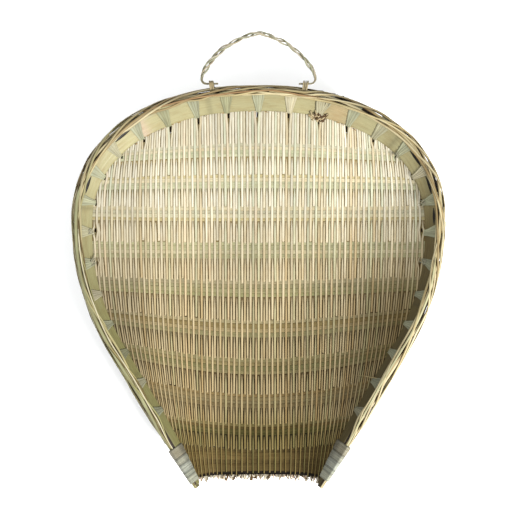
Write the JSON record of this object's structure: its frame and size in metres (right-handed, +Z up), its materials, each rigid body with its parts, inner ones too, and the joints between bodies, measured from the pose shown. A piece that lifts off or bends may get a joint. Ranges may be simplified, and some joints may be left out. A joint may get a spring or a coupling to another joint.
{
  "type": "winnowing basket",
  "caption": "Horseshoe-shaped woven bamboo winnowing tray with a dished mat, a lashed rim of hoops and splints, thread-bound horns at its open mouth and a twisted hanging loop.",
  "frame": {"origin": "on the floor, in the middle of the flat patch that the mat rests on", "axes": "+Z up out of the tray, +Y towards the back of the rim and the hanging loop, so the mouth faces -Y; +X to the right seen from the mouth"},
  "size_m": [0.5018, 0.6209, 0.1091],
  "materials": {
    "woven_mat": "dry split bamboo, cream to straw, with greener cross splints",
    "brown_slat": "brown inner bamboo, dull",
    "green_hoop": "khaki green bamboo skin, satin",
    "pale_splint": "pale split bamboo",
    "bamboo_skin": "grey green bamboo skin, satin",
    "bamboo_thread": "silvery grey green split bamboo thread",
    "loop_splint": "pale grey green twisted splint"
  },
  "bodies": {
    "basket": {"woven_mat": "woven_mat", "mouth_slat": "brown_slat", "inner_hoop": "green_hoop", "outer_hoop": "green_hoop", "rim_core_splint_1": "pale_splint", "rim_core_splint_2": "pale_splint", "rim_top_splint_1": "pale_splint", "rim_top_splint_2": "pale_splint", "rim_top_splint_3": "pale_splint", "rim_top_splint_4": "pale_splint", "rim_top_splint_5": "pale_splint", "lashing_01": "bamboo_skin", "lashing_02": "bamboo_skin", "lashing_03": "bamboo_skin", "lashing_04": "bamboo_skin", "lashing_05": "bamboo_skin", "lashing_06": "bamboo_skin", "lashing_07": "bamboo_skin", "lashing_08": "bamboo_skin", "lashing_09": "bamboo_skin", "lashing_10": "bamboo_skin", "lashing_11": "bamboo_skin", "lashing_12": "bamboo_skin", "lashing_13": "bamboo_skin", "lashing_14": "bamboo_skin", "lashing_15": "bamboo_skin", "lashing_16": "bamboo_skin", "lashing_17": "bamboo_skin", "lashing_18": "bamboo_skin", "lashing_19": "bamboo_skin", "lashing_20": "bamboo_skin", "lashing_21": "bamboo_skin", "lashing_22": "bamboo_skin", "lashing_23": "bamboo_skin", "lashing_24": "bamboo_skin", "lashing_25": "bamboo_skin", "lashing_26": "bamboo_skin", "lashing_27": "bamboo_skin", "lashing_28": "bamboo_skin", "lashing_29": "bamboo_skin", "horn_binding_left": "bamboo_thread", "horn_binding_right": "bamboo_thread", "loop_tie_left": "bamboo_skin", "loop_tie_right": "bamboo_skin"},
    "hanging_loop": {"loop_strand_1": "loop_splint", "loop_strand_2": "loop_splint"}
  },
  "joints": [
    {"name": "loop_swing", "type": "hinge", "parent": "basket", "child": "hanging_loop", "pos_m": [0, 0.24096, 0.103], "axis": [1, 0, 0], "range_deg": [-60, 90]}
  ]
}
